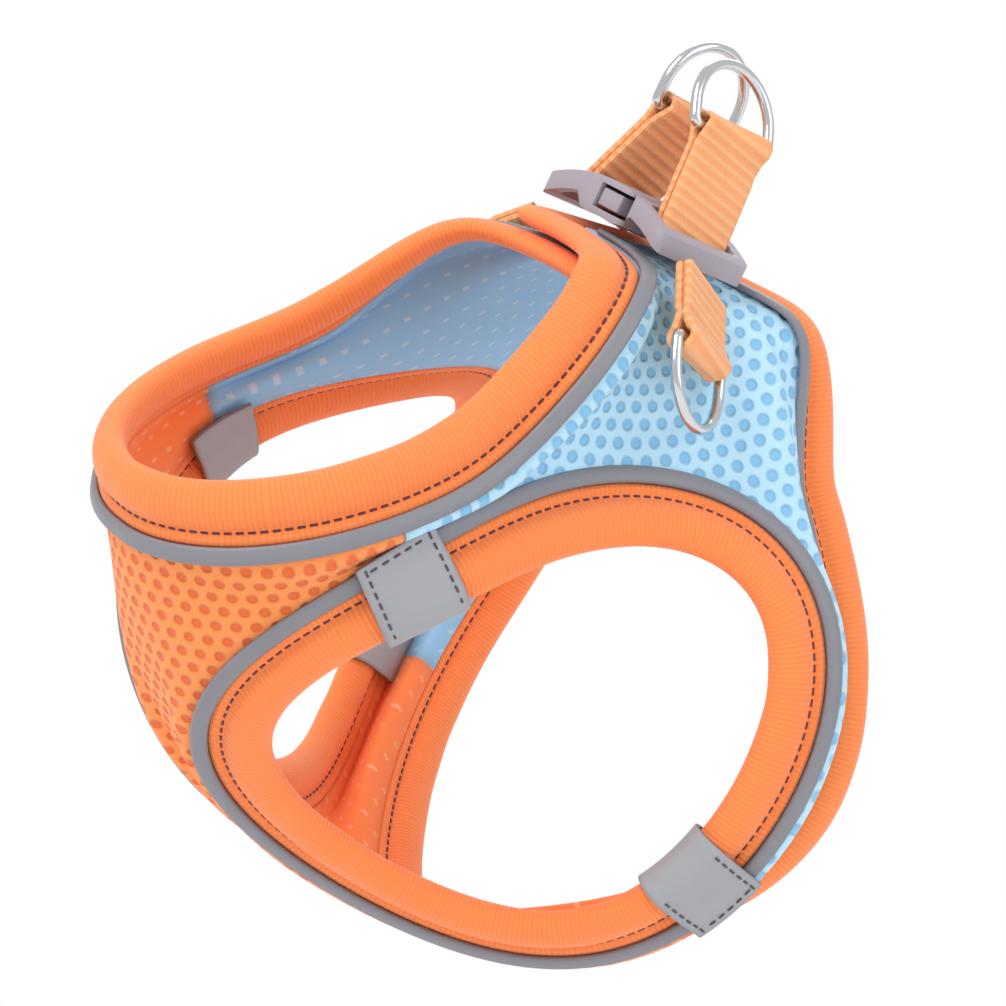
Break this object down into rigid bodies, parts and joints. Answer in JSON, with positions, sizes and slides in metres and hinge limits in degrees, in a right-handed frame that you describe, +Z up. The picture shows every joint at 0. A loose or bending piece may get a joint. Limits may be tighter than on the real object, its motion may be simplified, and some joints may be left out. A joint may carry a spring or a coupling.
{
  "type": "no pull harness",
  "caption": "Step-in mesh pet vest with padded neck, leg and trunk edges, a back flap closure, a side-release buckle, leash rings and a tag ring.",
  "frame": {"origin": "middle of the trunk that the vest closes round, on its mid-plane", "axes": "+X along the spine towards the tail, +Y to the pet's right, +Z up towards the back"},
  "size_m": [0.132, 0.113, 0.1596],
  "materials": {
    "orange_mesh": "air mesh, matt",
    "blue_mesh": "air mesh, matt",
    "ribbed_binding": "padded ribbed knit, matt",
    "reflective_piping": "reflective tape, satin",
    "reflective_tab": "reflective tape, satin",
    "fastening_tape": "hook and loop tape, matt",
    "webbing": "ribbed webbing, matt",
    "steel": "polished",
    "buckle_plastic": "fine satin"
  },
  "bodies": {
    "vest": {"chest_panel_left": "orange_mesh", "body_panel_left": "blue_mesh", "outer_binding_left": "ribbed_binding", "leg_binding_left": "ribbed_binding", "outer_piping_left": "reflective_piping", "leg_piping_left": "reflective_piping", "shoulder_tab_left": "reflective_tab", "belly_tab_left": "reflective_tab", "loop_tape": "fastening_tape", "strap_base_left": "webbing"},
    "right_half": {"chest_panel_right": "orange_mesh", "body_panel_right": "blue_mesh", "outer_binding_right": "ribbed_binding", "leg_binding_right": "ribbed_binding", "outer_piping_right": "reflective_piping", "leg_piping_right": "reflective_piping", "shoulder_tab_right": "reflective_tab", "belly_tab_right": "reflective_tab", "hook_tape": "fastening_tape", "strap_base_right": "webbing", "strap_right": "webbing", "buckle_socket": "buckle_plastic"},
    "left_strap": {"strap_left": "webbing", "buckle_plug": "buckle_plastic"},
    "leash_ring_left": {"leash_ring_left": "steel"},
    "leash_ring_right": {"leash_ring_right": "steel"},
    "tag_ring": {"tag_ring": "steel"},
    "release_arm_front": {"release_arm_front": "buckle_plastic"},
    "release_arm_rear": {"release_arm_rear": "buckle_plastic"}
  },
  "joints": [
    {"name": "back_opening", "type": "hinge", "parent": "vest", "child": "right_half", "pos_m": [-0.08325, 0, -0.02237], "axis": [-0.8959, 0, 0.4442], "range_deg": [0, 20]},
    {"name": "buckle_release", "type": "slide", "parent": "vest", "child": "left_strap", "axis": [0, -1, 0], "range_m": [0, 0.014]},
    {"name": "release_front", "type": "hinge", "parent": "left_strap", "child": "release_arm_front", "pos_m": [-0.0112, -0.0051, 0.07218], "axis": [0.0915, 0, -0.9958], "range_deg": [0, 6], "stiffness_Nm_per_rad": 0.02},
    {"name": "release_rear", "type": "hinge", "parent": "left_strap", "child": "release_arm_rear", "pos_m": [-0.00084, -0.0051, 0.07314], "axis": [-0.0915, 0, 0.9958], "range_deg": [0, 6], "stiffness_Nm_per_rad": 0.02},
    {"name": "leash_swing_left", "type": "hinge", "parent": "left_strap", "child": "leash_ring_left", "pos_m": [-0.00363, -0.0054, 0.09035], "axis": [0.9958, 0, 0.0915], "range_deg": [-3, 125]},
    {"name": "leash_swing_right", "type": "hinge", "parent": "right_half", "child": "leash_ring_right", "pos_m": [-0.00363, 0.0054, 0.09035], "axis": [-0.9958, 0, -0.0915], "range_deg": [-5, 100]},
    {"name": "tag_swing", "type": "hinge", "parent": "vest", "child": "tag_ring", "pos_m": [-0.00789, -0.02849, 0.05713], "axis": [-0.9569, -0.2604, 0.1282], "range_deg": [0, 95]}
  ]
}
